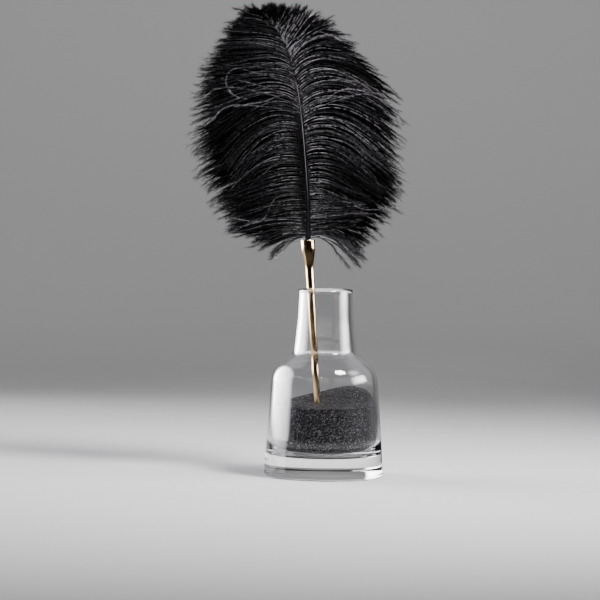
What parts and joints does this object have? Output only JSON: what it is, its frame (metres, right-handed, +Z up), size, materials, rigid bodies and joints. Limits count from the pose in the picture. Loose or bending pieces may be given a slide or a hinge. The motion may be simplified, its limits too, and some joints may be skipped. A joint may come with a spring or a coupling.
{
  "type": "ostrich feather in a glass vase",
  "caption": "Black ostrich plume with its quill in a slim gold-coloured metal sleeve, held upright by black sand in a clear glass bottle vase.",
  "frame": {"origin": "centre of the vase's flat base, on the surface that it stands on", "axes": "+Z up along the vase's axis, -Y towards the viewer who sees the feather's front, +X to that viewer's right; the feather leans towards -X"},
  "size_m": [0.208, 0.1142, 0.4506],
  "materials": {
    "black_feather": "matte",
    "gold_metal": "polished",
    "clear_glass": "gloss",
    "black_sand": "matte"
  },
  "bodies": {
    "root": {"feather": "black_feather", "quill_sleeve": "gold_metal", "vase": "clear_glass", "sand": "black_sand"}
  },
  "joints": []
}
